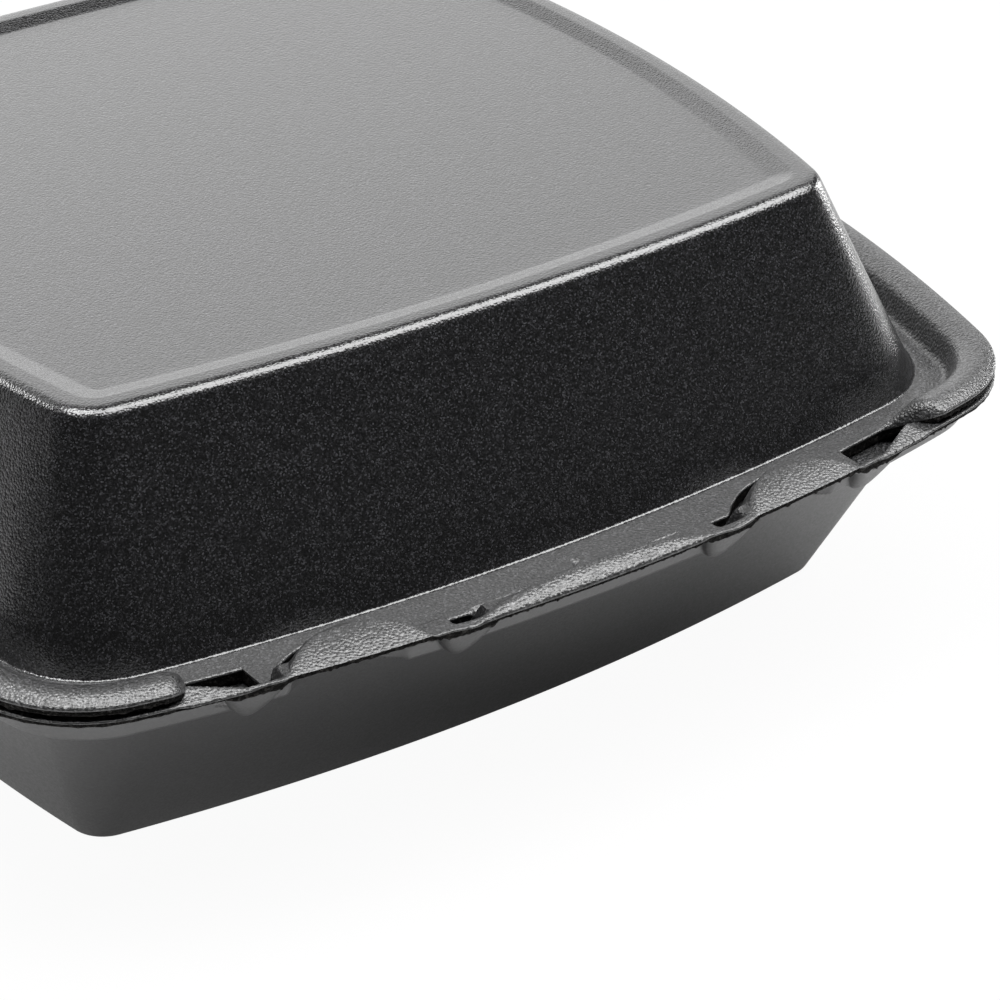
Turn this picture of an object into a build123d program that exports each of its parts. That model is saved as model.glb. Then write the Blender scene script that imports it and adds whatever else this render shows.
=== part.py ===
from build123d import *
from dataclasses import dataclass, replace
from math import asin, cos, sin
import os

# Hinged food container, thermoformed from one sheet of closed-cell foam.
# The tray stands on z = 0, its front is towards -Y and the fold runs along its back.
# X runs along the front edge, and both sides of the YZ plane are alike.

# Overall sizes
overall_width = 209.6
overall_depth = 203.2
overall_height = 75.0
rim_height = 41.1

# Thickness of the sheet, level ones measured across a slanted wall
foam = 2.2
wall_foam = 2.3
ledge_foam = 2.0
lip_foam = 1.1
tray_riser_foam = 1.9
lid_riser_foam = 2.6
bead_foam = 1.9
hump_foam = 1.9
nest_gap = 0.4
tightest_corner = 2.0

# Rim, the outline along which the sheet is cut
rim_side_bow = 13.9
rim_front_bow = 10.9
rim_corner = 22.5

# Tray: outline of its floor
floor_half_width = 71.3
floor_front = 64.3
floor_back = 70.0
floor_side_bow = 7.0
floor_front_bow = 6.0
floor_back_bow = 3.0
floor_corner = 6.0
floor_edge_round = 1.2
inner_floor_round = 2.0

# Tray: outline of its shoulder, set in from the rim
shoulder_side_inset = 8.4
shoulder_front_inset = 9.2
shoulder_back_inset = 10.5
shoulder_side_bow = 13.1
shoulder_front_bow = 10.3
shoulder_back_bow = 1.0
shoulder_corner = 18.0

# Step of the rim: ledge inside, slanted riser, cut lip outside
riser_rise = 4.6
riser_slant = 1.7
tray_lip_width = 4.3
bead_rise = 5.2
bead_drop = 0.4
bead_round = 1.0
lip_round = 0.8
ledge_round = 1.0

# Lid: outline of the foot of its walls, set in from the rim
foot_side_inset = 7.1
foot_front_inset = 9.9
foot_back_inset = 13.5
foot_side_bow = 9.3
foot_front_bow = 8.0
foot_back_bow = 1.5
foot_corner = 19.5
foot_round = 0.8

# Lid: outline of its top, and the sunken panel in it
top_half_width = 69.5
top_front = 65.2
top_back = 70.0
top_side_bow = 7.9
top_front_bow = 4.1
top_back_bow = 3.0
top_corner = 5.0
top_edge_round = 3.0
inner_top_round = 2.0
panel_depth = 1.0
panel_border = 4.2
panel_slope = 4.3

# Locking humps of the tray's lip
hump_centre = 42.3
hump_chord = 27.6
hump_reach = 9.4
hump_rise = 1.3
hump_slant = 1.6
hump_round = 1.2
hump_clearance = 0.5

# Necks of the tray's lip, one at each end of a hump
outer_neck_centre = 60.0
inner_neck_centre = 24.5
neck_width = 9.6
neck_depth = 9.0
neck_overhang = 1.0
neck_corner = 2.0
neck_foot_width = 5.0
neck_foot_depth = 4.5
neck_foot_inset = 2.6
pocket_width = 6.4
pocket_inset = 1.9
pocket_foot_width = 4.2
pocket_foot_inset = 4.0
pocket_corner = 1.5

# Front edge of the lid: the ends of its bead, and a notch and a tooth beside each
bead_end = 70.0
bead_end_round = 2.0
notch_start = 60.4
notch_end = 69.4
notch_reach = 8.2
notch_corner = 1.2
tooth_centre = 59.2
tooth_width = 2.9
tooth_foot_width = 1.6
tooth_corner = 0.7
tooth_gap = 0.35

# Fold along the back
fold_radius = 1.5
fold_foam = 0.7
fold_length = 134.0

# Heights that follow
lip_bottom = rim_height
lip_top = lip_bottom + lip_foam
ledge_top = lip_top - riser_rise
ledge_bottom = ledge_top - ledge_foam
flange_bottom = ledge_top + nest_gap
flange_top = flange_bottom + foam
bead_top = flange_top + bead_rise
bead_bottom = bead_top - bead_foam - bead_drop
hump_top = lip_top + hump_rise
fold_height = (lip_bottom + lip_top) / 2 + fold_radius - fold_foam / 2
notch_centre = (notch_start + notch_end) / 2


@dataclass(frozen=True)
class Outline:
    """Closed outline with four bowed sides and round corners."""

    half_width: float
    front: float
    back: float
    side_bow: float
    front_bow: float
    back_bow: float
    corner: float

    def inset(self, distance):
        """The same outline, further in on every side."""
        return replace(
            self,
            half_width=self.half_width - distance,
            front=self.front - distance,
            back=self.back - distance,
            corner=max(self.corner - distance, tightest_corner),
        )


rim = Outline(
    overall_width / 2 - rim_side_bow,
    overall_depth / 2 - rim_front_bow,
    overall_depth / 2 - fold_radius,
    rim_side_bow,
    rim_front_bow,
    0.0,
    rim_corner,
)
tray_floor = Outline(
    floor_half_width,
    floor_front,
    floor_back,
    floor_side_bow,
    floor_front_bow,
    floor_back_bow,
    floor_corner,
)
tray_shoulder = Outline(
    rim.half_width - shoulder_side_inset,
    rim.front - shoulder_front_inset,
    rim.back - shoulder_back_inset,
    shoulder_side_bow,
    shoulder_front_bow,
    shoulder_back_bow,
    shoulder_corner,
)
wall_foot = Outline(
    rim.half_width - foot_side_inset,
    rim.front - foot_front_inset,
    rim.back - foot_back_inset,
    foot_side_bow,
    foot_front_bow,
    foot_back_bow,
    foot_corner,
)
lid_top = Outline(
    top_half_width,
    top_front,
    top_back,
    top_side_bow,
    top_front_bow,
    top_back_bow,
    top_corner,
)


def section(outline, height):
    """Level face of an outline."""
    middle = (outline.back - outline.front) / 2
    front_left = (-outline.half_width, -outline.front)
    front_right = (outline.half_width, -outline.front)
    back_right = (outline.half_width, outline.back)
    back_left = (-outline.half_width, outline.back)
    with BuildSketch(Plane.XY.offset(height), mode=Mode.PRIVATE) as face:
        with BuildLine():
            ThreePointArc(front_left, (0, -outline.front - outline.front_bow), front_right)
            ThreePointArc(front_right, (outline.half_width + outline.side_bow, middle), back_right)
            if outline.back_bow:
                ThreePointArc(back_right, (0, outline.back + outline.back_bow), back_left)
            else:
                Line(back_right, back_left)
            ThreePointArc(back_left, (-outline.half_width - outline.side_bow, middle), front_left)
        make_face()
        fillet(face.vertices(), outline.corner)
    return face.sketch


# Centre and radius of the bowed front of the rim
front_radius = (rim.half_width**2 + rim.front_bow**2) / (2 * rim.front_bow)
front_centre = front_radius - rim.front - rim.front_bow


def front_plane(x, height):
    """Level plane at a place on the rim's front, with local +Y pointing straight in."""
    turn = asin(x / front_radius)
    origin = (x, front_centre - front_radius * cos(turn), height)
    return Plane(origin=origin, x_dir=(cos(turn), sin(turn), 0), z_dir=(0, 0, 1))


def riser_inset(height):
    """How far the inner face of the tray's riser stands in from the rim."""
    return tray_lip_width + riser_slant * (lip_top - height) / riser_rise


def lid_outer_inset(height):
    """The same for the outer face of the lid's riser, which nests in the tray's."""
    return riser_inset(height) + nest_gap


def lid_inner_inset(height):
    """The same for the inner face of the lid's riser."""
    return lid_outer_inset(height) + lid_riser_foam


def pocket_near(height):
    """How far the front of a neck's pocket stands in from the rim."""
    share = (lip_top - height) / riser_rise
    return pocket_inset + share * (pocket_foot_inset - pocket_inset)


hump_radius = (hump_chord**2 / 4 + hump_reach**2) / (2 * hump_reach)
hump_centres = [-hump_centre, hump_centre]
neck_centres = [-outer_neck_centre, -inner_neck_centre, inner_neck_centre, outer_neck_centre]


def hump_cone(x, growth, bottom, top):
    """Slanted round of a hump, grown by a distance, between two heights."""
    slope = hump_slant / (hump_top - ledge_top)
    middle = hump_reach - hump_radius
    with BuildPart(mode=Mode.PRIVATE) as cone:
        for height in (bottom, top):
            radius = hump_radius + growth + slope * (hump_top - height)
            with BuildSketch(front_plane(x, height)):
                with Locations((0, middle)):
                    Circle(radius)
        loft()
    return cone.part


def neck_block(x, bottom, top, foot, mouth, corner):
    """Tapered block at a neck; foot and mouth each give width, nearest and furthest inset."""
    with BuildPart(mode=Mode.PRIVATE) as block:
        for height, (width, near, far) in ((bottom, foot), (top, mouth)):
            with BuildSketch(front_plane(x, height)):
                with Locations((0, (near + far) / 2)):
                    RectangleRounded(width, far - near, corner)
        loft()
    return block.part


# Bulges of the neck, cut off at the rim
with BuildPart() as neck_bulges:
    for x in neck_centres:
        add(
            neck_block(
                x,
                ledge_bottom,
                lip_bottom,
                (neck_foot_width, neck_foot_inset, neck_foot_inset + neck_foot_depth),
                (neck_width, -neck_overhang, neck_depth - neck_overhang),
                neck_corner,
            )
        )
    extrude(section(rim, ledge_bottom), amount=lip_bottom - ledge_bottom, mode=Mode.INTERSECT)

# Room that the humps may take: inside the riser below the lip, out to the rim above it
with BuildPart() as hump_room:
    loft(
        [
            section(rim.inset(riser_inset(ledge_bottom) - tray_riser_foam), ledge_bottom),
            section(rim.inset(riser_inset(lip_bottom) - tray_riser_foam), lip_bottom),
        ]
    )
    extrude(section(rim, lip_bottom), amount=hump_top - lip_bottom)

# Humps, cut off at the rim, with a softly rounded top
with BuildPart() as humps:
    for x in hump_centres:
        add(hump_cone(x, 0, ledge_bottom, hump_top))
    add(hump_room.part, mode=Mode.INTERSECT)
    fillet(humps.faces().filter_by(Axis.Z).group_by(Axis.Z)[-1].edges(), hump_round)

# Tray
with BuildPart() as tray:
    loft([section(tray_floor, 0), section(tray_shoulder, ledge_bottom)])
    fillet(tray.faces().sort_by(Axis.Z)[0].edges(), floor_edge_round)
    loft(
        [
            section(rim.inset(riser_inset(ledge_bottom) - tray_riser_foam), ledge_bottom),
            section(rim.inset(riser_inset(lip_bottom) - tray_riser_foam), lip_bottom),
        ]
    )
    add(neck_bulges.part)
    extrude(section(rim, lip_bottom), amount=lip_foam)
    loft(
        [
            section(rim.inset(riser_inset(ledge_top)), ledge_top),
            section(rim.inset(riser_inset(lip_top)), lip_top),
        ],
        mode=Mode.SUBTRACT,
    )
    loft(
        [
            section(tray_floor.inset(wall_foam), foam),
            section(tray_shoulder.inset(wall_foam), ledge_top),
        ],
        mode=Mode.SUBTRACT,
    )
    fillet(tray.faces().filter_by(Axis.Z).group_by(Axis.Z)[1].edges(), inner_floor_round)
    fillet(tray.faces().filter_by(Axis.Z).sort_by(Axis.Z)[-1].inner_wires().edges(), lip_round)
    ledge = tray.faces().filter_by(Axis.Z).group_by(Axis.Z)[3][0]
    fillet(ledge.inner_wires().edges(), ledge_round)
    add(humps.part)
    for x in neck_centres:
        pocket = neck_block(
            x,
            ledge_top,
            lip_top,
            (pocket_foot_width, pocket_near(ledge_top), neck_depth),
            (pocket_width, pocket_near(lip_top), neck_depth),
            pocket_corner,
        )
        add(pocket, mode=Mode.SUBTRACT)
    for x in hump_centres:
        add(hump_cone(x, -hump_foam, ledge_bottom, lip_bottom), mode=Mode.SUBTRACT)
tray.part.label = "tray"

# Hollow fold that joins the two cut edges along the back
with BuildPart() as hinge_web:
    with BuildSketch(Plane.YZ):
        with Locations((rim.back, fold_height)):
            Circle(fold_radius)
            Circle(fold_radius - fold_foam, mode=Mode.SUBTRACT)
            Rectangle(overall_depth, overall_height, align=(Align.MAX, Align.CENTER), mode=Mode.SUBTRACT)
    extrude(amount=fold_length / 2, both=True)
hinge_web.part.label = "hinge_web"

# Lid, its front rim left low between the ends of the bead
with BuildPart() as lid:
    loft(
        [
            section(rim.inset(lid_outer_inset(flange_bottom)), flange_bottom),
            section(rim.inset(lid_outer_inset(bead_bottom)), bead_bottom),
        ]
    )
    extrude(section(rim, bead_bottom), amount=bead_top - bead_bottom)
    loft(
        [
            section(rim.inset(lid_inner_inset(flange_top)), flange_top),
            section(rim.inset(lid_inner_inset(bead_top)), bead_top),
        ],
        mode=Mode.SUBTRACT,
    )
    with BuildSketch(Plane.XY.offset(flange_top)):
        with Locations((0, -overall_depth / 2)):
            Rectangle(2 * bead_end, rim.front)
    extrude(amount=overall_height, mode=Mode.SUBTRACT)
    end_corners = lid.edges().filter_by(Axis.Z).filter_by_position(Axis.X, -bead_end, bead_end)
    fillet(end_corners.filter_by_position(Axis.Z, bead_bottom, bead_top), bead_end_round)
    fillet(lid.faces().filter_by(Axis.Z).group_by(Axis.Z)[-1].edges(), bead_round)
    loft([section(wall_foot, flange_bottom), section(lid_top, overall_height)])
    fillet(lid.faces().sort_by(Axis.Z)[-1].edges(), top_edge_round)
    flange = lid.faces().filter_by(Axis.Z).group_by(Axis.Z)[1][0]
    fillet(flange.inner_wires().edges(), foot_round)
    loft(
        [
            section(lid_top.inset(panel_border + panel_slope), overall_height - panel_depth),
            section(lid_top.inset(panel_border), overall_height),
        ],
        mode=Mode.SUBTRACT,
    )
    loft(
        [
            section(wall_foot.inset(wall_foam), flange_bottom),
            section(lid_top.inset(wall_foam), overall_height - foam),
        ],
        mode=Mode.SUBTRACT,
    )
    fillet(lid.faces().filter_by(Axis.Z).group_by(Axis.Z)[-3].edges(), inner_top_round)
    loft(
        [
            section(lid_top.inset(panel_border + panel_slope), overall_height - foam - panel_depth),
            section(lid_top.inset(panel_border), overall_height - foam),
        ]
    )
    for side in (-1, 1):
        with BuildSketch(front_plane(side * notch_centre, flange_bottom)):
            RectangleRounded(notch_end - notch_start, 2 * notch_reach, notch_corner)
        extrude(amount=foam, mode=Mode.SUBTRACT)
        tooth = neck_block(
            side * tooth_centre,
            flange_bottom,
            flange_top,
            (tooth_foot_width, pocket_near(flange_bottom) + tooth_gap, notch_reach),
            (tooth_width, pocket_near(flange_top) + tooth_gap, notch_reach),
            tooth_corner,
        )
        add(tooth)
    for x in hump_centres:
        add(hump_cone(x, hump_clearance, flange_bottom, flange_top), mode=Mode.SUBTRACT)
lid.part.label = "lid"

os.makedirs("parts", exist_ok=True)
export_step(tray.part, "parts/tray.step")
export_step(lid.part, "parts/lid.step")
export_step(hinge_web.part, "parts/hinge_web.step")
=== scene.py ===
"""Foam hinged lid container: its soft thermoformed shells, finishes and studio."""

import logging
import math
from dataclasses import dataclass, field, replace
from enum import Enum

import bpy
import numpy as np
from mathutils import Matrix, Vector

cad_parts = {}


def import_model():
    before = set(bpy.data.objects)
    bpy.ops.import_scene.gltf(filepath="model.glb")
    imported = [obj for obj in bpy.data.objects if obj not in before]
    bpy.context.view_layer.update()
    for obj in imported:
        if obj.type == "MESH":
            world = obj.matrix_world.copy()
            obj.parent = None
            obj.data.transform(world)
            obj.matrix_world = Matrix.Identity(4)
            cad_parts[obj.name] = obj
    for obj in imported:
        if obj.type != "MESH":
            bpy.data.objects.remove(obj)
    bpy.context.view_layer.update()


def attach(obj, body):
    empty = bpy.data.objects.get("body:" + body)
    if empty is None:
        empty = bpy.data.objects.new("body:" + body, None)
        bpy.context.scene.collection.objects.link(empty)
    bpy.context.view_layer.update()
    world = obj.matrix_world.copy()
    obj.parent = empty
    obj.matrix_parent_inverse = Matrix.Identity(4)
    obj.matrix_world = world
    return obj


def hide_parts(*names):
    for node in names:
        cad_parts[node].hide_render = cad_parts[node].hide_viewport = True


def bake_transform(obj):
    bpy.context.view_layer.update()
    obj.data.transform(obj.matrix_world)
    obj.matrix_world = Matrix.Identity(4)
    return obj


log = logging.getLogger("foam_container")

MM = 0.001
FOAM_IOR = 1.59


class Skin(Enum):
    """Faces of the foam sheet that look different."""

    LID = "lid_skin"
    TRAY = "tray_skin"
    RIM = "rim_skin"
    CUT = "cut_edge"


class Zone(Enum):
    """Part of a section, by what may change its shape and by its finish."""

    PLAIN = 0
    UPPER = 1
    LOWER = 2
    CUT = 3


@dataclass(frozen=True)
class FoamFinish:
    """Black foam with a skin that is pebbled and flecked by the cells under it.

    Sizes and depths are in metres. Some cells are rougher than the rest and also painted paler: painted
    glints that stand in for the sparkle of the foam's cells.
    """

    skin: Skin
    color: tuple[float, float, float]
    roughness: float
    pebble_size: float
    pebble_depth: float
    fleck_and_glint_size: float
    painted_glint_gain: float
    fleck_roughness: float
    gloss: float = 1.0
    painted_glint_rarity: float = 5.0

    def material(self) -> bpy.types.Material:
        """Builds the procedural material.

        Returns:
            The finished material.
        """
        made = bpy.data.materials.new(self.skin.value)
        made.use_nodes = True
        nodes = made.node_tree.nodes
        links = made.node_tree.links
        shader = nodes["Principled BSDF"]
        place = nodes.new("ShaderNodeTexCoord")

        cells = nodes.new("ShaderNodeTexVoronoi")
        cells.inputs["Scale"].default_value = 1 / self.pebble_size
        links.new(place.outputs["Object"], cells.inputs["Vector"])
        bump = nodes.new("ShaderNodeBump")
        bump.invert = True
        bump.inputs["Distance"].default_value = self.pebble_depth
        bump.inputs["Strength"].default_value = 1.0
        links.new(cells.outputs["Distance"], bump.inputs["Height"])
        links.new(bump.outputs["Normal"], shader.inputs["Normal"])

        fleck_and_glint_cells = nodes.new("ShaderNodeTexVoronoi")
        fleck_and_glint_cells.inputs["Scale"].default_value = 1 / self.fleck_and_glint_size
        links.new(place.outputs["Object"], fleck_and_glint_cells.inputs["Vector"])
        split = nodes.new("ShaderNodeSeparateColor")
        links.new(fleck_and_glint_cells.outputs["Color"], split.inputs["Color"])
        shine = nodes.new("ShaderNodeMath")
        shine.operation = "POWER"
        shine.inputs[1].default_value = self.painted_glint_rarity
        links.new(split.outputs["Red"], shine.inputs[0])

        # Painted glints: sparse cells raise the base colour so they stand in for the sparkle of the foam's
        # cells.
        painted_glint_tone = nodes.new("ShaderNodeMapRange")
        painted_glint_tone.inputs["To Min"].default_value = 1.0
        painted_glint_tone.inputs["To Max"].default_value = 1.0 + self.painted_glint_gain
        links.new(shine.outputs["Value"], painted_glint_tone.inputs["Value"])
        base = nodes.new("ShaderNodeVectorMath")
        base.operation = "SCALE"
        base.inputs[0].default_value = self.color
        links.new(painted_glint_tone.outputs["Result"], base.inputs["Scale"])
        links.new(base.outputs["Vector"], shader.inputs["Base Color"])

        rough = nodes.new("ShaderNodeMapRange")
        rough.inputs["To Min"].default_value = self.roughness
        rough.inputs["To Max"].default_value = self.roughness + self.fleck_roughness
        links.new(split.outputs["Green"], rough.inputs["Value"])
        links.new(rough.outputs["Result"], shader.inputs["Roughness"])
        shader.inputs["IOR"].default_value = FOAM_IOR
        shader.inputs["Specular IOR Level"].default_value = self.gloss
        return made


LID_SKIN = FoamFinish(
    Skin.LID,
    color=(0.0022, 0.0022, 0.0024),
    roughness=0.17,
    pebble_size=0.0004,
    pebble_depth=0.000042,
    fleck_and_glint_size=0.00021,
    painted_glint_gain=24.0,
    fleck_roughness=0.10,
)
RIM_SKIN = FoamFinish(
    Skin.RIM,
    color=(0.004, 0.004, 0.0042),
    roughness=0.28,
    pebble_size=0.0005,
    pebble_depth=0.000105,
    fleck_and_glint_size=0.00026,
    painted_glint_gain=20.0,
    fleck_roughness=0.20,
)
TRAY_SKIN = FoamFinish(
    Skin.TRAY,
    color=(0.007, 0.007, 0.0075),
    roughness=0.30,
    pebble_size=0.0006,
    pebble_depth=0.000010,
    fleck_and_glint_size=0.00030,
    painted_glint_gain=1.5,
    fleck_roughness=0.12,
)
CUT_EDGE = FoamFinish(
    Skin.CUT,
    color=(0.004, 0.0038, 0.0036),
    roughness=0.60,
    pebble_size=0.0004,
    pebble_depth=0.000200,
    fleck_and_glint_size=0.00040,
    painted_glint_gain=8.0,
    fleck_roughness=0.30,
    gloss=0.05,
)


@dataclass(frozen=True)
class Outline:
    """Closed outline with four bowed sides and round corners, in millimetres."""

    half_width: float
    front: float
    back: float
    side_bow: float
    front_bow: float
    back_bow: float
    corner: float

    def inset(self, distance: float) -> "Outline":
        """Returns the same outline, further in on every side."""
        return replace(
            self,
            half_width=self.half_width - distance,
            front=self.front - distance,
            back=self.back - distance,
            corner=max(self.corner - distance, 2.0),
        )

    def front_circle(self) -> tuple[float, float]:
        """Returns the height of the front arc's centre along Y, and its radius."""
        radius = (self.half_width**2 + self.front_bow**2) / (2 * self.front_bow)
        return radius - self.front - self.front_bow, radius

    def points(self, steps: "Steps") -> np.ndarray:
        """Samples the outline, anticlockwise from the left end of its front.

        Args:
            steps: How many points each side and corner gets.

        Returns:
            One row of x and y for each point.
        """
        front_y, front_r = self.front_circle()
        middle = (self.back - self.front) / 2
        half = (self.back + self.front) / 2
        side_r = (half**2 + self.side_bow**2) / (2 * self.side_bow)
        side_x = self.half_width + self.side_bow - side_r
        front_corner = meet((0.0, front_y), front_r - self.corner, (side_x, middle), side_r - self.corner, -1)
        if self.back_bow:
            back_r = (self.half_width**2 + self.back_bow**2) / (2 * self.back_bow)
            back_y = self.back + self.back_bow - back_r
            back_corner = meet((0.0, back_y), back_r - self.corner, (side_x, middle), side_r - self.corner, 1)
            back_end = angle_of((0.0, back_y), back_corner)
        else:
            corner_y = self.back - self.corner
            reach = math.sqrt((side_r - self.corner) ** 2 - (corner_y - middle) ** 2)
            back_corner = (side_x + reach, corner_y)
            back_end = math.pi / 2
        front_end = angle_of((0.0, front_y), front_corner)
        side_low = angle_of((side_x, middle), front_corner)
        side_high = angle_of((side_x, middle), back_corner)
        sweep = np.linspace(-math.pi - front_end, front_end, steps.front, endpoint=False)
        front = arc((0.0, front_y), front_r, sweep)
        sweep = np.linspace(front_end, side_low, steps.corner, endpoint=False)
        corner_low = arc(front_corner, self.corner, sweep)
        sweep = np.linspace(side_low, side_high, steps.side, endpoint=False)
        side = arc((side_x, middle), side_r, sweep)
        sweep = np.linspace(side_high, back_end, steps.corner, endpoint=False)
        corner_high = arc(back_corner, self.corner, sweep)
        if self.back_bow:
            sweep = np.linspace(back_end, math.pi - back_end, steps.back, endpoint=False)
            back = arc((0.0, back_y), back_r, sweep)
        else:
            reach = np.linspace(back_corner[0], -back_corner[0], steps.back, endpoint=False)
            back = np.column_stack([reach, np.full(steps.back, self.back)])
        right = np.vstack([corner_low, side, corner_high])
        first_back = back[:1]
        left = np.vstack([right, first_back])[::-1][:-1] * (-1, 1)
        return np.vstack([front, right, back, left])


@dataclass(frozen=True)
class Steps:
    """How finely each stretch of an outline is divided."""

    front: int = 320
    corner: int = 22
    side: int = 40
    back: int = 40


def angle_of(centre: tuple[float, float], point: tuple[float, float]) -> float:
    """Returns the direction from a centre to a point."""
    return math.atan2(point[1] - centre[1], point[0] - centre[0])


def arc(centre: tuple[float, float], radius: float, sweep: np.ndarray) -> np.ndarray:
    """Returns the points of a circle at the angles of a sweep."""
    return np.column_stack([centre[0] + radius * np.cos(sweep), centre[1] + radius * np.sin(sweep)])


def meet(
    first: tuple[float, float],
    first_radius: float,
    second: tuple[float, float],
    second_radius: float,
    side: int,
) -> tuple[float, float]:
    """Finds where two circles meet on the right-hand side.

    Args:
        first: Centre of the first circle.
        first_radius: Its radius.
        second: Centre of the second circle.
        second_radius: Its radius.
        side: -1 for the meeting point at the front, 1 for the one at the back.

    Returns:
        The meeting point.
    """
    gap = math.dist(first, second)
    along = (first_radius**2 - second_radius**2 + gap**2) / (2 * gap)
    across = math.sqrt(max(first_radius**2 - along**2, 0.0))
    run = ((second[0] - first[0]) / gap, (second[1] - first[1]) / gap)
    foot = (first[0] + along * run[0], first[1] + along * run[1])
    both = [
        (foot[0] - across * run[1], foot[1] + across * run[0]),
        (foot[0] + across * run[1], foot[1] - across * run[0]),
    ]
    return max(both, key=lambda point: point[0] + side * point[1])


RIM = Outline(
    half_width=90.9, front=90.7, back=100.1, side_bow=13.9, front_bow=10.9, back_bow=0.0, corner=22.5
)
TRAY_FLOOR = Outline(
    half_width=71.3, front=64.3, back=70.0, side_bow=7.0, front_bow=6.0, back_bow=3.0, corner=6.0
)
TRAY_SHOULDER = Outline(
    half_width=82.5, front=81.5, back=89.6, side_bow=13.1, front_bow=10.3, back_bow=1.0, corner=18.0
)
WALL_FOOT = Outline(
    half_width=83.8, front=80.8, back=86.6, side_bow=9.3, front_bow=8.0, back_bow=1.5, corner=19.5
)
LID_TOP = Outline(
    half_width=69.5, front=65.2, back=70.0, side_bow=7.9, front_bow=4.1, back_bow=3.0, corner=8.0
)
STEPS = Steps()
FINE_STEPS = Steps(front=400, corner=60, side=80, back=80)

# The front's pattern of humps, necks and notches sits a little to the left of the middle.
FRONT_MIDDLE = -2.0
HUMP_BEYOND = 5.43


@dataclass(frozen=True)
class FrontPlace:
    """Level axes at a place on the front of the rim: along it, and straight in."""

    x: float

    def local(self, plan: np.ndarray) -> tuple[np.ndarray, np.ndarray]:
        """Turns plan positions into this place's own axes.

        Args:
            plan: Positions, with x and y in the last axis, in millimetres.

        Returns:
            How far each lies along the rim, and how far in from it.
        """
        centre_y, radius = RIM.front_circle()
        turn = math.asin(self.x / radius)
        origin_y = centre_y - radius * math.cos(turn)
        dx = plan[..., 0] - self.x
        dy = plan[..., 1] - origin_y
        along = dx * math.cos(turn) + dy * math.sin(turn)
        inward = dy * math.cos(turn) - dx * math.sin(turn)
        return along, inward


def smooth(value: np.ndarray) -> np.ndarray:
    """Returns a value from 0 to 1 with soft ends."""
    held = np.clip(value, 0.0, 1.0)
    return held * held * (3 - 2 * held)


def soft_min(first: np.ndarray, second: np.ndarray, blend: float) -> np.ndarray:
    """Returns the lower of two heights, rounded where they cross."""
    share = np.clip(0.5 + 0.5 * (second - first) / blend, 0.0, 1.0)
    return second + (first - second) * share - blend * share * (1 - share)


def soft_max(first: np.ndarray, second: np.ndarray, blend: float) -> np.ndarray:
    """Returns the higher of two heights, rounded where they cross."""
    return -soft_min(-first, -second, blend)


@dataclass
class Columns:
    """Columns round the outer edge of both halves, each with its way straight in.

    Attributes:
        places: Where each column stands on the rim.
        inward: The way straight in from there.
        along: How far each lies along the front from its middle; beyond the front's ends elsewhere.
        far: How far each lies from the middle of the front's pattern.
    """

    places: np.ndarray = field(init=False)
    inward: np.ndarray = field(init=False)
    along: np.ndarray = field(init=False)
    far: np.ndarray = field(init=False)

    def __post_init__(self) -> None:
        """Divides the rim and finds which way in each column runs."""
        self.places = RIM.points(STEPS)
        ahead = np.roll(self.places, -1, axis=0) - np.roll(self.places, 1, axis=0)
        ahead /= np.linalg.norm(ahead, axis=1)[:, None]
        self.inward = np.column_stack([-ahead[:, 1], ahead[:, 0]])
        _, radius = RIM.front_circle()
        bent = radius * np.arcsin(np.clip(self.places[:, 0] / radius, -1, 1))
        self.along = np.where(self.places[:, 1] < 0, bent, RIM.half_width * 2)
        self.far = np.abs(self.along - FRONT_MIDDLE)

    def at(self, inset: np.ndarray | float, height: np.ndarray | float) -> np.ndarray:
        """Returns the place of each column at an inset from the rim, and a height."""
        count = len(self.places)
        plan = self.places + self.inward * np.broadcast_to(inset, count)[:, None]
        return np.column_stack([plan, np.broadcast_to(height, count)])

    def inset_of(self, rings: np.ndarray) -> np.ndarray:
        """Returns how far in from the rim the places of a section lie."""
        return ((rings[..., :2] - self.places) * self.inward).sum(axis=2)

    def across(self, outline: Outline) -> np.ndarray:
        """Finds how far in each column meets an outline.

        Args:
            outline: The outline, which lies inside the rim.

        Returns:
            The inset at each column.
        """
        ends = outline.points(FINE_STEPS)
        run = np.roll(ends, -1, axis=0) - ends
        gap = ends[None] - self.places[:, None]
        turn = self.inward[:, None, 0] * run[None, :, 1] - self.inward[:, None, 1] * run[None, :, 0]
        turn = np.where(np.abs(turn) < 1e-9, 1e-9, turn)
        inset = (gap[..., 0] * run[None, :, 1] - gap[..., 1] * run[None, :, 0]) / turn
        share = (gap[..., 0] * self.inward[:, None, 1] - gap[..., 1] * self.inward[:, None, 0]) / turn
        met = (inset > 0) & (share >= -1e-6) & (share <= 1 + 1e-6)
        return np.where(met, inset, np.inf).min(axis=1)


def level(outline: Outline, height: float) -> np.ndarray:
    """Returns an outline's own points at a height."""
    plan = outline.points(STEPS)
    return np.column_stack([plan, np.full(len(plan), height)])


@dataclass
class Corner:
    """Corner of a section: its places, its rounding, and the stretch that follows it.

    Attributes:
        places: Where the corner is, for each column.
        radius: Radius that rounds it.
        arc: Rings in its rounding.
        run: Rings in the straight stretch that follows.
        zone: What that stretch is part of.
    """

    places: np.ndarray
    radius: np.ndarray | float = 0.0
    arc: int = 0
    run: int = 1
    zone: Zone = Zone.PLAIN


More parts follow.
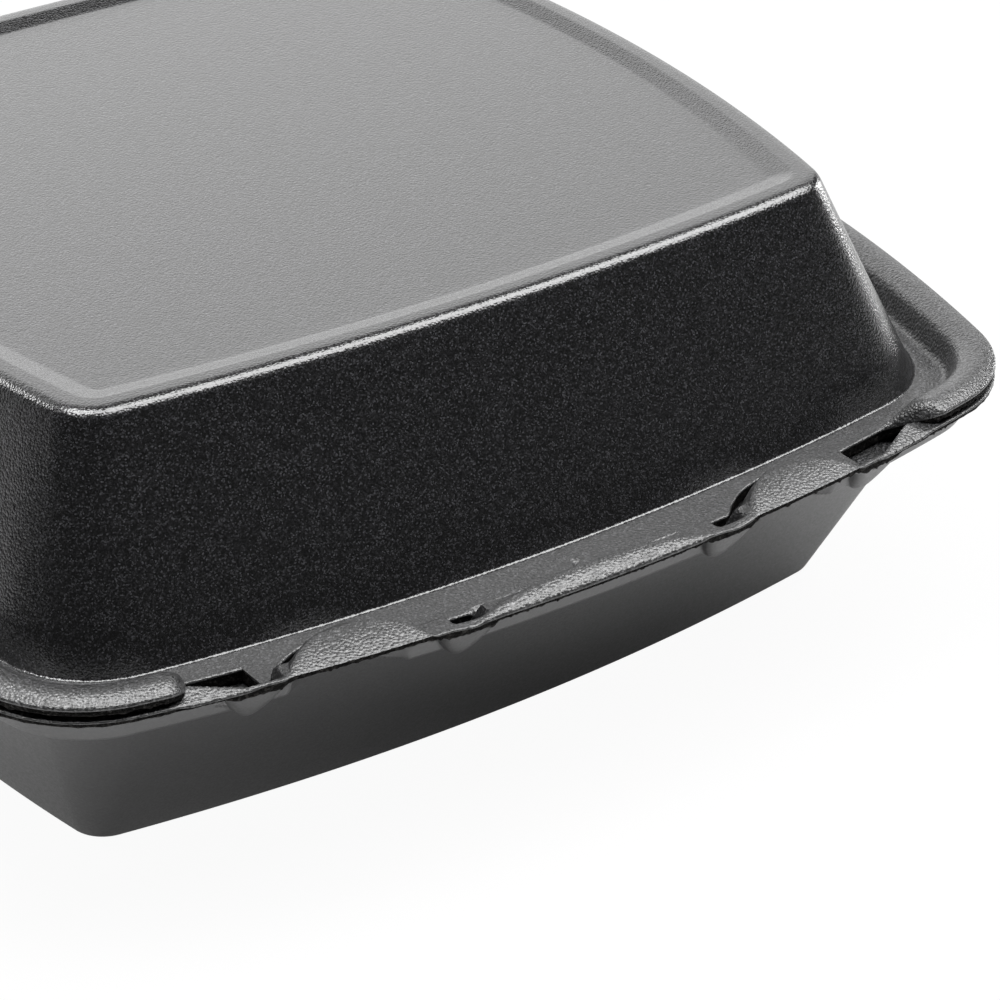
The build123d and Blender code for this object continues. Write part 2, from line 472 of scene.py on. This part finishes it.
def rounded_section(corners: list[Corner]) -> tuple[np.ndarray, list[Zone]]:
    """Rounds the corners of a section and divides its straight runs.

    Args:
        corners: The corners in order, each with one place for every column.

    Returns:
        The place for each ring and column, and the zone of the stretch up to each ring.
    """
    rings = [corners[0].places]
    zones = [corners[0].zone]
    leave = corners[0].places
    for before, corner, after in zip(corners, corners[1:], corners[2:] + [None]):
        here = corner.places
        curve = []
        enter = here
        if after is not None and corner.arc:
            back = before.places - here
            ahead = after.places - here
            back_length = np.linalg.norm(back, axis=1)[:, None]
            ahead_length = np.linalg.norm(ahead, axis=1)[:, None]
            to_back = back / np.maximum(back_length, 1e-6)
            to_ahead = ahead / np.maximum(ahead_length, 1e-6)
            cosine = np.clip((to_back * to_ahead).sum(axis=1), -0.9999, 0.9999)[:, None]
            radius = np.broadcast_to(corner.radius, len(here))[:, None]
            reach = radius / np.tan(np.arccos(cosine) / 2)
            reach = np.minimum(reach, 0.48 * np.minimum(back_length, ahead_length))
            enter = here + to_back * reach
            depart = here + to_ahead * reach
            for step in range(1, corner.arc + 1):
                share = step / corner.arc
                bend = (1 - share) ** 2 * enter + 2 * share * (1 - share) * here + share**2 * depart
                curve.append(bend)
        for step in range(1, before.run + 1):
            share = step / before.run
            rings.append(leave * (1 - share) + enter * share)
            zones.append(before.zone)
        rings.extend(curve)
        zones.extend([before.zone] * len(curve))
        leave = curve[-1] if curve else enter
    return np.stack(rings), zones


# Material slots of a shell: its own skin first, then the cut edge, then the rim's skin.
ZONE_SLOTS = {Zone.CUT: 1, Zone.UPPER: 2}
SMOOTH_BELOW = math.radians(55)


@dataclass
class Shell:
    """Closed skin of a formed foam sheet, built ring by ring from a section."""

    name: str
    body: str
    node: str
    skin: FoamFinish
    seed: int
    columns: Columns = field(default_factory=Columns)

    def raise_shell(self, rings: np.ndarray, zones: list[Zone]) -> bpy.types.Object:
        """Extrudes a circle ring by ring and moves each ring to its place.

        Args:
            rings: Place of each vertex in millimetres, by ring and column.
            zones: The zone of the stretch that leads to each ring.

        Returns:
            The closed, smooth piece.
        """
        count = rings.shape[1]
        ends = [(rings[end] + rings[end].mean(axis=0)) / 2 for end in (0, -1)]
        rings = np.concatenate([ends[0][None], rings, ends[1][None]])
        dress = np.array([ZONE_SLOTS.get(zone, 0) for zone in zones] + [0, 0], np.int32)
        bpy.ops.object.select_all(action="DESELECT")
        bpy.ops.mesh.primitive_circle_add(vertices=count, radius=1.0, fill_type="NOTHING")
        piece = bpy.context.object
        piece.name = self.name
        bpy.ops.object.mode_set(mode="EDIT")
        bpy.ops.mesh.select_all(action="SELECT")
        bpy.ops.mesh.edge_face_add()
        for _ in range(len(rings) - 1):
            bpy.ops.mesh.extrude_region_move(TRANSFORM_OT_translate={"value": (0, 0, 1)})
        bpy.ops.mesh.poke()
        bpy.ops.object.mode_set(mode="OBJECT")
        raw = np.zeros(len(piece.data.vertices) * 3)
        piece.data.vertices.foreach_get("co", raw)
        raw = raw.reshape(-1, 3)
        ring = np.rint(raw[:, 2]).astype(int)
        turn = np.arctan2(raw[:, 1], raw[:, 0]) / (2 * math.pi) * count
        column = np.rint(turn).astype(int) % count
        middle = np.hypot(raw[:, 0], raw[:, 1]) < 0.5
        placed = np.where(middle[:, None], rings.mean(axis=1)[ring], rings[ring, column]) * MM
        piece.data.vertices.foreach_set("co", placed.ravel())
        self.share_slots(piece, ring, dress)
        bpy.ops.object.mode_set(mode="EDIT")
        bpy.ops.mesh.select_all(action="SELECT")
        bpy.ops.mesh.normals_make_consistent(inside=False)
        bpy.ops.object.mode_set(mode="OBJECT")
        bpy.ops.object.shade_smooth_by_angle(angle=SMOOTH_BELOW)
        return piece

    def share_slots(self, piece: bpy.types.Object, ring: np.ndarray, dress: np.ndarray) -> None:
        """Gives each band of faces the material slot of its zone."""
        corners = np.zeros(len(piece.data.loops), np.int32)
        piece.data.loops.foreach_get("vertex_index", corners)
        starts = np.zeros(len(piece.data.polygons), np.int32)
        piece.data.polygons.foreach_get("loop_start", starts)
        lowest = np.minimum.reduceat(ring[corners], starts)
        piece.data.polygons.foreach_set("material_index", dress[lowest])

    def tear(self, rings: np.ndarray, zones: list[Zone], depth: float) -> np.ndarray:
        """Roughens the cut edge a little, column by column.

        Args:
            rings: The rings of the section.
            zones: The zone of the stretch that leads to each ring.
            depth: How deep the foam is torn, in millimetres.

        Returns:
            The rings with a rough cut edge.
        """
        chance = np.random.RandomState(self.seed)
        torn = [index for index, zone in enumerate(zones) if zone is Zone.CUT]
        for index in torn:
            shift = chance.rand(rings.shape[1]) * depth
            rings[index, :, :2] += self.columns.inward * shift[:, None]
            rings[index, :, 2] += (chance.rand(rings.shape[1]) - 0.5) * depth
        rings[torn[-1], :, 2] -= chance.rand(rings.shape[1]) ** 6 * depth * 3
        return rings

    def finish(self, piece: bpy.types.Object) -> None:
        """Dresses the piece and puts it in its node's place."""
        piece.data.materials.append(self.skin.material())
        piece.data.materials.append(CUT_EDGE.material())
        piece.data.materials.append(RIM_SKIN.material())
        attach(piece, self.body)
        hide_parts(self.node)
        log.info("%s: %d faces", self.name, len(piece.data.polygons))


@dataclass
class TrayShell(Shell):
    """Lower half, with the stepped rim, the locking humps and their necks."""

    foam: float = 2.2
    wall_foam: float = 2.3
    lip_top: float = 42.2
    lip_bottom: float = 41.1
    ledge_top: float = 37.6
    ledge_bottom: float = 35.6
    tear_depth: float = 0.12
    hump_places: tuple[float, ...] = (-43.5, 39.5)
    hump_radius: float = 14.83
    hump_rise: float = 1.9
    hump_dome: float = 9.0
    hump_foot: float = 1.6
    hump_flank: float = 4.0
    hollow_flank: float = 2.2
    neck_places: tuple[float, ...] = (-60.0, -25.3, 23.7, 56.0)
    neck_half: float = 5.0
    neck_depth: float = 3.7
    neck_bottom: float = 34.3
    slot_places: tuple[float, ...] = (-24.6, 24.6)
    slot_half: float = 1.5
    slot_flank: float = 1.6
    slot_front: float = 3.8
    slot_slope: float = 2.2
    slot_dip: float = 0.5
    pocket_reach: float = 9.5
    strip_middle: float = -2.0
    strip_half: float = 21.5
    strip_width: float = 3.6
    strip_rise: float = 1.6
    strip_dip: float = 0.3
    tongue_pocket: float = 55.0
    tongue_start: float = 59.5
    tongue_end: float = 70.0
    tongue_narrow: float = 0.9
    tongue_growth: float = 2.9
    tongue_slope: float = 1.9
    tongue_lift: float = 1.2
    tongue_dip: float = 0.4

    def upper(self, rings: np.ndarray) -> np.ndarray:
        """Shapes the top of the rim.

        Args:
            rings: The rings of the section.

        Returns:
            The height of each place of it.
        """
        top = rings[..., 2]
        for x in self.hump_places:
            along, inward = FrontPlace(x).local(rings[..., :2])
            away = np.hypot(along, inward + HUMP_BEYOND)
            dome = np.clip((inward + 0.3) / self.hump_dome, 0.0, 1.0)
            crown = self.lip_top + self.hump_rise * (1 - (1 - dome) ** 2)
            flank = smooth((self.hump_radius + self.hump_foot - away) / self.hump_flank)
            hump = self.ledge_top + (crown - self.ledge_top) * flank
            top = np.where(away < self.hump_radius + self.hump_foot + 0.2, soft_max(top, hump, 0.5), top)
        for x in self.slot_places:
            along, inward = FrontPlace(x).local(rings[..., :2])
            beside = np.abs(along)
            side = (beside - self.slot_half) / self.slot_flank
            front = (self.slot_front - inward) / self.slot_slope
            near = (beside < 4.2) & (inward < self.pocket_reach)
            top = self.sink(top, soft_max(side, front, 0.35), near)
            top = top - self.slot_dip * smooth(1 - beside / 4.6) * smooth(1 - inward / 3.0)
        return self.tongue(rings, self.strip(rings, top))

    def sink(self, top: np.ndarray, rise: np.ndarray, near: np.ndarray) -> np.ndarray:
        """Sinks a pocket into the top of the rim, down to the ledge.

        Args:
            top: The heights so far.
            rise: The pocket's surface, 0 at the ledge and 1 at the lip.
            near: Where the pocket may be.

        Returns:
            The heights with the pocket.
        """
        pocket = self.ledge_top + (self.lip_top - self.ledge_top) * np.clip(rise, 0.0, 1.3)
        return np.where(near, np.maximum(soft_min(top, pocket, 0.6), self.ledge_top), top)

    def strip(self, rings: np.ndarray, top: np.ndarray) -> np.ndarray:
        """Crowns the rim between the two middle necks."""
        inset = self.columns.inset_of(rings)
        reach = np.clip(1 - ((self.columns.along - self.strip_middle) / self.strip_half) ** 2, 0.0, 1.0)
        wide = self.strip_width * reach**0.6
        dome = np.clip((inset + 0.2) / (wide + 0.2), 0.0, 1.0)
        crown = self.strip_rise * reach**0.6 * (1 - (1 - dome) ** 2) - self.strip_dip * smooth(reach * 4)
        return top + crown * smooth((wide + 1.2 - inset) / 1.2)

    def tongue(self, rings: np.ndarray, top: np.ndarray) -> np.ndarray:
        """Narrows the rim to a tongue, with a pocket behind it, at each of the lid's notches."""
        far = self.columns.far
        inset = self.columns.inset_of(rings)
        wide = self.tongue_narrow + self.tongue_growth * np.clip((far - self.tongue_start) / 9.0, 0.0, 1.0)
        side = np.broadcast_to((self.tongue_pocket - far) / 1.2, inset.shape)
        behind = (wide + self.tongue_slope - inset) / self.tongue_slope
        near = (far > self.tongue_pocket - 1.6) & (far < self.tongue_end) & (inset < self.pocket_reach)
        top = self.sink(top, soft_max(side, behind, 0.35), near)
        window = smooth((far - self.tongue_pocket - 2.0) / 3.0) * smooth((self.tongue_end + 1.0 - far) / 3.0)
        lift = self.tongue_lift * np.clip(inset / 3.2, 0.0, 1.0) * smooth((wide + 0.6 - inset) / 0.8)
        return top + (lift - self.tongue_dip) * window * smooth((wide + 1.4 - inset) / 1.4)

    def lower(self, rings: np.ndarray) -> np.ndarray:
        """Lets the necks bulge down and hollows the humps, under the rim.

        Args:
            rings: The rings of the section.

        Returns:
            The height of each place of it.
        """
        under = rings[..., 2]
        for x in self.neck_places:
            along, inward = FrontPlace(x).local(rings[..., :2])
            side = (np.abs(along) / self.neck_half) ** 1.7
            front = (self.neck_depth - inward) / self.neck_depth
            rise = np.maximum(soft_max(side, front, 0.5), 0.0)
            bulge = self.neck_bottom + (self.lip_bottom - self.neck_bottom) * rise
            near = (np.abs(along) < self.neck_half + 1.5) & (inward < 8.5)
            under = np.where(near, soft_min(under, bulge, 0.9), under)
        for x in self.hump_places:
            along, inward = FrontPlace(x).local(rings[..., :2])
            away = np.hypot(along, inward + HUMP_BEYOND)
            flank = smooth((self.hump_radius - 0.2 - away) / self.hollow_flank)
            hollow = self.ledge_bottom + (self.lip_bottom + 0.2 - self.ledge_bottom) * flank
            under = np.where(away < self.hump_radius, soft_max(under, hollow, 0.4), under)
        return under

    def build(self) -> bpy.types.Object:
        """Builds the tray's skin and puts it in the tray's place."""
        at = self.columns.at
        shoulder_in = self.columns.across(TRAY_SHOULDER.inset(self.wall_foam))
        shoulder_out = self.columns.across(TRAY_SHOULDER)
        middle = TRAY_FLOOR.inset(12.0)
        corners = [
            Corner(level(middle, self.foam), run=3),
            Corner(level(TRAY_FLOOR.inset(self.wall_foam), self.foam), 3.0, 6, 12),
            Corner(at(shoulder_in, self.ledge_top), 1.3, 4, 7, Zone.UPPER),
            Corner(at(6.0, self.ledge_top), 0.9, 4, 9, Zone.UPPER),
            Corner(at(4.3, self.lip_top), 0.9, 4, 9, Zone.UPPER),
            Corner(at(0.0, self.lip_top), 0.3, 2, 3, Zone.CUT),
            Corner(at(0.0, self.lip_bottom), 0.25, 2, 11, Zone.LOWER),
            Corner(at(2.8, self.lip_bottom), 0.9, 4, 9, Zone.LOWER),
            Corner(at(4.84, self.ledge_bottom), 1.3, 4, 10, Zone.LOWER),
            Corner(at(shoulder_out, self.ledge_bottom), 1.6, 4, 8),
            Corner(level(TRAY_FLOOR, 0.0), 1.6, 5, 3),
            Corner(level(middle, 0.0)),
        ]
        rings, zones = rounded_section(corners)
        raised = self.upper(rings)
        sunk = self.lower(rings)
        cut = [index for index, zone in enumerate(zones) if zone is Zone.CUT]
        for index, zone in enumerate(zones):
            if zone is Zone.UPPER:
                rings[index, :, 2] = raised[index]
            elif zone is Zone.LOWER:
                rings[index, :, 2] = sunk[index]
        above = rings[cut[0] - 1, :, 2]
        below = rings[cut[-1] + 1, :, 2]
        for step, index in enumerate(cut):
            share = (step + 1) / (len(cut) + 1)
            rings[index, :, 2] = above * (1 - share) + below * share
        piece = self.raise_shell(self.tear(rings, zones, self.tear_depth), zones)
        self.finish(piece)
        return piece


@dataclass
class LidShell(Shell):
    """Upper half, with the domed walls, the sunken panel, the flange and the bead."""

    foam: float = 2.2
    wall_foam: float = 2.3
    top: float = 75.0
    panel_depth: float = 1.0
    panel_border: float = 3.4
    panel_slope: float = 3.3
    flange_bottom: float = 38.0
    flange_top: float = 40.2
    bead_bottom: float = 43.1
    bead_outer: float = 44.4
    bead_crest: float = 45.7
    bead_inner: float = 44.9
    tear_depth: float = 0.2
    edge_inset: float = 5.6
    notch_inset: float = 8.2
    tip_inset: float = 2.9
    recess_middle: float = 41.5
    recess_radius: float = 16.1
    notch_start: float = 56.6
    roll_end: float = 21.5
    bead_end: float = 67.0
    bead_round: float = 5.0
    crack_along: float = -0.5
    crack_slant: float = 0.32
    crack_half: float = 0.33
    crack_depth: float = 1.3
    crack_inset: tuple[float, float] = (5.4, 10.2)

    def crack(self, rings: np.ndarray, zones: list[Zone]) -> np.ndarray:
        """Presses the short crack into the top of the front flange."""
        inset = self.columns.inset_of(rings)
        outer, inner = self.crack_inset
        beside = self.columns.along - self.crack_along + self.crack_slant * (9.5 - inset)
        depth = self.crack_depth * np.exp(-((beside / self.crack_half) ** 2))
        depth = depth * smooth((inset - outer) / 0.6) * smooth((inner - inset) / 0.8)
        top = np.array([zone is Zone.UPPER for zone in zones])
        rings[..., 2] -= depth * top[:, None]
        return rings

    def front_edge(self) -> tuple[np.ndarray, np.ndarray]:
        """Shapes the cut front edge of the flange.

        Returns:
            How far in the edge lies at each column, and how far it is rolled down there.
        """
        far = self.columns.far
        beside = far - self.recess_middle
        recess = np.sqrt(np.maximum(self.recess_radius**2 - beside**2, 0.0)) - HUMP_BEYOND
        outward = smooth(beside / 4.0)
        edge = soft_max(self.edge_inset * (1 - outward) + self.tip_inset * outward, recess, 0.8)
        notch = smooth((far - self.notch_start) / 0.6)
        return edge + (self.notch_inset - edge) * notch, smooth((self.roll_end - far) / 3.0)

    def build(self) -> bpy.types.Object:
        """Builds the lid's skin and puts it in the lid's place."""
        at = self.columns.at
        edge, roll = self.front_edge()
        past_end = self.columns.far - self.bead_end
        share = np.clip(past_end / self.bead_round, 0.0, 1.0)
        soft = smooth((past_end - 0.5) / (self.bead_round + 1.5))
        bead = np.where(self.columns.along < 0, np.sqrt(1 - (1 - share) ** 2), soft)

        def mix(plate: np.ndarray | float, full: float) -> np.ndarray:
            """Blends a value of the low front flange into that of the full bead."""
            return plate * (1 - bead) + full * bead

        flange = self.flange_top
        under = self.flange_bottom
        shoulder = mix(flange + 0.03, self.bead_inner)
        brow = mix(flange - 0.45 * roll, self.bead_crest)
        cut_top = mix(flange - 0.2 - 0.8 * roll, self.bead_outer)
        cut_bottom = mix(under, self.bead_bottom)
        lean = self.foam / (self.top - under)
        low = at(self.columns.across(WALL_FOOT), flange)
        foot = low + (level(LID_TOP, self.top) - low) * lean
        foot[:, 2] = flange
        border = LID_TOP.inset(self.panel_border)
        panel = LID_TOP.inset(self.panel_border + self.panel_slope)
        ceiling = self.top - self.foam
        corners = [
            Corner(level(panel.inset(8.0), self.top - self.panel_depth), run=3),
            Corner(level(panel, self.top - self.panel_depth), 2.5, 4, 3),
            Corner(level(border, self.top), 2.0, 4, 2),
            Corner(level(LID_TOP, self.top), 3.0, 9, 9),
            Corner(foot, 0.7, 4, 7, Zone.UPPER),
            Corner(at(mix(edge + 0.8 + roll, 8.0), flange), mix(0.2, 1.6), 4, 4, Zone.UPPER),
            Corner(at(mix(edge + 0.5 + 0.8 * roll, 6.3), shoulder), mix(0.2 + roll, 2.6), 5, 3, Zone.UPPER),
            Corner(at(mix(edge + 0.2 + 0.2 * roll, 2.6), brow), mix(0.6, 4.0), 5, 4, Zone.UPPER),
            Corner(at(mix(edge, 0.0), cut_top), mix(0.3, 0.6), 4, 4, Zone.CUT),
            Corner(at(mix(edge + 0.1, 0.0), cut_bottom), 0.3, 2, 4),
            Corner(at(mix(edge + 1.0, 4.38), cut_bottom), mix(0.2, 0.8), 3, 4),
            Corner(at(mix(edge + 1.5, 6.25), under), mix(0.2, 0.7), 3, 5),
            Corner(at(self.columns.across(WALL_FOOT.inset(self.wall_foam)), under), 1.2, 3, 8),
            Corner(level(LID_TOP.inset(self.wall_foam), ceiling), 3.0, 5, 2),
            Corner(level(border, ceiling), 2.5, 3, 2),
            Corner(level(panel, ceiling - self.panel_depth), 3.5, 3, 3),
            Corner(level(panel.inset(8.0), ceiling - self.panel_depth)),
        ]
        rings, zones = rounded_section(corners)
        piece = self.raise_shell(self.tear(self.crack(rings, zones), zones, self.tear_depth), zones)
        self.finish(piece)
        return piece


@dataclass
class FoldWeb:
    """Thin pressed fold along the back."""

    middle_y: float = 100.1
    middle_z: float = 42.8
    radius: float = 1.15
    foam: float = 0.7
    half_length: float = 67.0
    lengths: int = 60
    arc_steps: int = 14
    bend_half: float = 0.8

    def build(self) -> bpy.types.Object:
        """Builds the fold along the back, between the tray and the lid."""
        bpy.ops.object.select_all(action="DESELECT")
        outer = self.radius + self.foam / 2
        inner = self.radius - self.foam / 2
        sweep = np.linspace(-math.pi / 2, math.pi / 2, self.arc_steps + 1)
        outside = [(outer * math.cos(a), outer * math.sin(a)) for a in sweep]
        inside = [(inner * math.cos(a), inner * math.sin(a)) for a in sweep[::-1]]
        profile = outside + inside
        count = len(profile)
        bpy.ops.mesh.primitive_circle_add(vertices=count, radius=1.0, fill_type="NGON")
        piece = bpy.context.object
        piece.name = "fold_web"
        step = 2 * self.half_length / self.lengths
        bpy.ops.object.mode_set(mode="EDIT")
        bpy.ops.mesh.select_all(action="SELECT")
        for _ in range(self.lengths):
            bpy.ops.mesh.extrude_region_move(TRANSFORM_OT_translate={"value": (0, 0, 1)})
        bpy.ops.object.mode_set(mode="OBJECT")
        raw = np.zeros(len(piece.data.vertices) * 3)
        piece.data.vertices.foreach_get("co", raw)
        raw = raw.reshape(-1, 3)
        turn = np.arctan2(raw[:, 1], raw[:, 0]) / (2 * math.pi) * count - count / 4
        column = np.rint(turn).astype(int) % count
        ring = np.rint(raw[:, 2])
        shape = np.array(profile)[column]
        placed = np.column_stack(
            [ring * step - self.half_length, self.middle_y + shape[:, 0], self.middle_z + shape[:, 1]]
        )
        piece.data.vertices.foreach_set("co", (placed * MM).ravel())
        bpy.ops.object.mode_set(mode="EDIT")
        bpy.ops.mesh.select_all(action="SELECT")
        bpy.ops.mesh.normals_make_consistent(inside=False)
        bpy.ops.object.mode_set(mode="OBJECT")
        bpy.ops.object.shade_smooth_by_angle(angle=math.radians(50))
        piece.data.materials.append(TRAY_SKIN.material())
        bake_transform(piece)
        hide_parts("hinge_web")
        log.info("%s: %d faces", piece.name, len(piece.data.polygons))
        return piece


@dataclass(frozen=True)
class Softbox:
    """Soft rectangular lamp that faces a point."""

    name: str
    place: tuple[float, float, float]
    aim: tuple[float, float, float]
    width: float
    height: float
    power: float

    def build(self) -> None:
        """Adds the lamp to the scene."""
        lamp = bpy.data.lights.new(self.name, "AREA")
        lamp.shape = "RECTANGLE"
        lamp.size = self.width
        lamp.size_y = self.height
        lamp.energy = self.power
        holder = bpy.data.objects.new(self.name, lamp)
        holder.location = self.place
        direction = Vector(self.aim) - Vector(self.place)
        holder.rotation_euler = direction.to_track_quat("-Z", "Y").to_euler()
        bpy.context.scene.collection.objects.link(holder)


SOFTBOXES = (
    Softbox(
        "backdrop_softbox",
        place=(0.55, 1.25, 0.64),
        aim=(0.0, 0.0, 0.05),
        width=2.4,
        height=1.2,
        power=10.2,
    ),
    Softbox(
        "overhead_softbox",
        place=(0.42, -0.24, 0.92),
        aim=(0.0, -0.24, 0.0),
        width=0.60,
        height=1.05,
        power=13.0,
    ),
    Softbox(
        "corner_softbox",
        place=(-0.28, 0.10, 0.95),
        aim=(-0.28, 0.10, 0.0),
        width=0.45,
        height=0.50,
        power=6.0,
    ),
    Softbox(
        "right_softbox",
        place=(1.20, 0.14, 0.14),
        aim=(0.09, -0.05, 0.05),
        width=0.25,
        height=0.25,
        power=3.5,
    ),
    Softbox(
        "left_softbox",
        place=(-0.62, 0.90, 0.66),
        aim=(-0.07, 0.0, 0.07),
        width=0.4,
        height=0.4,
        power=4.0,
    ),
)


def set_range(node: bpy.types.Node, source: tuple[float, float], result: tuple[float, float]) -> None:
    """Sets what a Map Range node reads and what it gives."""
    node.inputs["From Min"].default_value, node.inputs["From Max"].default_value = source
    node.inputs["To Min"].default_value, node.inputs["To Max"].default_value = result


@dataclass
class Studio:
    """Pale floor, soft lights, bright backdrop and the camera.

    The floor glows a little for the camera. In reflections it glows more the further it is from the
    container's front: a painted glow, faded near the container as a painted shadow.
    """

    target: Vector = field(default_factory=lambda: Vector((0.050, 0.0, -0.01075)))
    azimuth: float = math.radians(-34.97)
    elevation: float = math.radians(30.53)
    distance: float = 0.658
    view_angle: float = math.radians(16.02)
    floor_size: float = 8.0
    floor_drop: float = 0.0002
    floor_tone: float = 0.8
    floor_glow: float = 0.95
    painted_shadow_middle: tuple[float, float, float] = (0.02, -0.12, 0.0)
    painted_shadow_reach: tuple[float, float] = (0.05, 0.28)
    painted_glow_share: tuple[float, float] = (0.08, 0.90)
    backdrop_from: tuple[float, float] = (0.45, 0.95)
    backdrop_level: tuple[float, float] = (0.04, 0.9)

    def build(self) -> None:
        """Builds the whole studio."""
        self.camera()
        self.floor()
        self.world()
        self.lamps()

    def camera(self) -> None:
        """Places the camera at the photograph's viewing angle."""
        sin_a, cos_a = math.sin(self.azimuth), math.cos(self.azimuth)
        sin_e, cos_e = math.sin(self.elevation), math.cos(self.elevation)
        right = Vector((cos_a, sin_a, 0))
        up = Vector((-sin_a * sin_e, cos_a * sin_e, cos_e))
        back = Vector((sin_a * cos_e, -cos_a * cos_e, sin_e))
        lens = bpy.data.cameras.new("camera")
        lens.sensor_width = 36.0
        lens.lens = lens.sensor_width / (2 * math.tan(self.view_angle / 2))
        eye = bpy.data.objects.new("camera", lens)
        turn = Matrix((right, up, back)).transposed().to_4x4()
        eye.matrix_world = Matrix.Translation(self.target + self.distance * back) @ turn
        bpy.context.scene.collection.objects.link(eye)
        bpy.context.scene.camera = eye

    def floor(self) -> None:
        """Adds the pale floor, which stays white for the camera but takes a shadow."""
        bpy.ops.mesh.primitive_plane_add(size=self.floor_size, location=(0, 0, -self.floor_drop))
        floor = bpy.context.object
        floor.name = "floor"
        paint = bpy.data.materials.new("pale_floor")
        paint.use_nodes = True
        nodes = paint.node_tree.nodes
        links = paint.node_tree.links
        nodes.clear()
        out = nodes.new("ShaderNodeOutputMaterial")
        matt = nodes.new("ShaderNodeBsdfDiffuse")
        matt.inputs["Color"].default_value = (self.floor_tone, self.floor_tone, self.floor_tone, 1)
        glow = nodes.new("ShaderNodeEmission")
        glow.inputs["Color"].default_value = (1, 1, 1, 1)
        mix = nodes.new("ShaderNodeMixShader")
        ray = nodes.new("ShaderNodeLightPath")
        seen = nodes.new("ShaderNodeMath")
        seen.operation = "MULTIPLY"
        seen.inputs[1].default_value = self.floor_glow
        place = nodes.new("ShaderNodeTexCoord")
        # Painted glow in reflections: glossy rays see the floor's white emission, faded near the container as
        # painted shadow.
        away = nodes.new("ShaderNodeVectorMath")
        away.operation = "DISTANCE"
        away.inputs[1].default_value = self.painted_shadow_middle
        reach = nodes.new("ShaderNodeMapRange")
        set_range(reach, self.painted_shadow_reach, self.painted_glow_share)
        share = nodes.new("ShaderNodeMath")
        share.operation = "MULTIPLY_ADD"
        links.new(place.outputs["Object"], away.inputs[0])
        links.new(away.outputs["Value"], reach.inputs["Value"])
        links.new(ray.outputs["Is Camera Ray"], seen.inputs[0])
        links.new(ray.outputs["Is Glossy Ray"], share.inputs[0])
        links.new(reach.outputs["Result"], share.inputs[1])
        links.new(seen.outputs[0], share.inputs[2])
        links.new(share.outputs[0], mix.inputs["Fac"])
        links.new(matt.outputs[0], mix.inputs[1])
        links.new(glow.outputs[0], mix.inputs[2])
        links.new(mix.outputs[0], out.inputs["Surface"])
        floor.data.materials.append(paint)

    def world(self) -> None:
        """Lights the scene from behind; the camera sees plain white."""
        world = bpy.data.worlds.new("studio")
        bpy.context.scene.world = world
        world.use_nodes = True
        nodes = world.node_tree.nodes
        links = world.node_tree.links
        nodes.clear()
        place = nodes.new("ShaderNodeTexCoord")
        split = nodes.new("ShaderNodeSeparateXYZ")
        ramp = nodes.new("ShaderNodeMapRange")
        ramp.interpolation_type = "SMOOTHSTEP"
        set_range(ramp, self.backdrop_from, self.backdrop_level)
        dim = nodes.new("ShaderNodeBackground")
        white = nodes.new("ShaderNodeBackground")
        mix = nodes.new("ShaderNodeMixShader")
        ray = nodes.new("ShaderNodeLightPath")
        out = nodes.new("ShaderNodeOutputWorld")
        links.new(place.outputs["Generated"], split.inputs[0])
        links.new(split.outputs["Y"], ramp.inputs["Value"])
        links.new(ramp.outputs["Result"], dim.inputs["Strength"])
        links.new(ray.outputs["Is Camera Ray"], mix.inputs["Fac"])
        links.new(dim.outputs[0], mix.inputs[1])
        links.new(white.outputs[0], mix.inputs[2])
        links.new(mix.outputs[0], out.inputs["Surface"])
        white.inputs["Color"].default_value = (1, 1, 1, 1)
        dim.inputs["Color"].default_value = (1, 1, 1, 1)

    def lamps(self) -> None:
        """Adds the softboxes."""
        for box in SOFTBOXES:
            box.build()


def main() -> None:
    """Builds the studio and dresses the container."""
    logging.basicConfig(level=logging.INFO)
    bpy.context.scene.view_settings.view_transform = "Standard"
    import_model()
    bpy.ops.object.select_all(action="DESELECT")
    Studio().build()
    TrayShell("tray_shell", body="base", node="tray", skin=TRAY_SKIN, seed=4).build()
    LidShell("lid_shell", body="cover", node="lid", skin=LID_SKIN, seed=9).build()
    FoldWeb().build()


if __name__ == "__main__":
    main()
